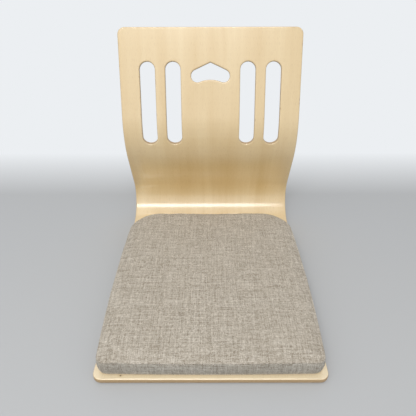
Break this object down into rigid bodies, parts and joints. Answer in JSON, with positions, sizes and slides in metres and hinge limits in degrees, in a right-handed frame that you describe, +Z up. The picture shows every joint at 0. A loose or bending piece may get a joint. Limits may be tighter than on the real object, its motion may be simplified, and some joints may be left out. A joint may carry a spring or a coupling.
{
  "type": "legless floor chair",
  "caption": "Legless floor chair: a bent plywood shell with slots and a hand hole in its back, and a boxed seat cushion that lifts off.",
  "frame": {"origin": "on the floor, under the middle of the whole chair's width and depth", "axes": "+Z up, +Y towards the back of the chair, so the sitter faces -Y, and +X to the right of someone facing the chair's front"},
  "size_m": [0.39, 0.5234, 0.4575],
  "materials": {
    "birch_face": "clear satin lacquer over rotary-cut veneer, fine grain along the sheet",
    "birch_core": "lacquered ply edges, grain of neighbouring plies crossed",
    "felt": "dense pressed wool felt",
    "hook_tape": "moulded nylon hooks on a woven ground",
    "loop_tape": "brushed nylon loops",
    "linen": "slubbed plain-weave linen, taupe",
    "wadding": "bonded polyester fibre",
    "foam": "open-cell polyurethane foam",
    "zip_tape": "close-woven polyester tape",
    "zip_coil": "smooth nylon coil",
    "zip_metal": "die-cast zinc with a dull nickel plating"
  },
  "bodies": {
    "shell": {"front_face_veneer": "birch_face", "core_ply_1": "birch_core", "core_ply_2": "birch_core", "core_ply_3": "birch_core", "core_ply_4": "birch_core", "core_ply_5": "birch_core", "back_face_veneer": "birch_face", "felt_glide_front_left": "felt", "felt_glide_front_right": "felt", "felt_glide_rear_left": "felt", "felt_glide_rear_right": "felt", "hook_patch_front_left": "hook_tape", "hook_patch_front_right": "hook_tape", "hook_patch_rear_left": "hook_tape", "hook_patch_rear_right": "hook_tape"},
    "cushion": {"cushion_top_panel": "linen", "cushion_base_panel": "linen", "cushion_boxing": "linen", "zip_strip_lower": "linen", "zip_strip_upper": "linen", "wadding_layer": "wadding", "foam_core": "foam", "loop_patch_front_left": "loop_tape", "loop_patch_front_right": "loop_tape", "loop_patch_rear_left": "loop_tape", "loop_patch_rear_right": "loop_tape", "zip_tape_lower": "zip_tape", "zip_tape_upper": "zip_tape", "zip_coil_lower": "zip_coil", "zip_coil_upper": "zip_coil", "zip_stop_left": "zip_metal", "zip_stop_right": "zip_metal"},
    "slider": {"zip_slider": "zip_metal"},
    "pull": {"zip_pull": "zip_metal"}
  },
  "joints": [
    {"name": "cushion_lift", "type": "slide", "parent": "shell", "child": "cushion", "axis": [0, 0, 1], "range_m": [0, 0.5]},
    {"name": "zip_slide", "type": "slide", "parent": "cushion", "child": "slider", "axis": [-1, 0, 0], "range_m": [0, 0.223]},
    {"name": "zip_pull_turn", "type": "hinge", "parent": "slider", "child": "pull", "pos_m": [0.1115, 0.16125, 0.03072], "axis": [0, 0, -1], "range_deg": [0, 175]}
  ]
}
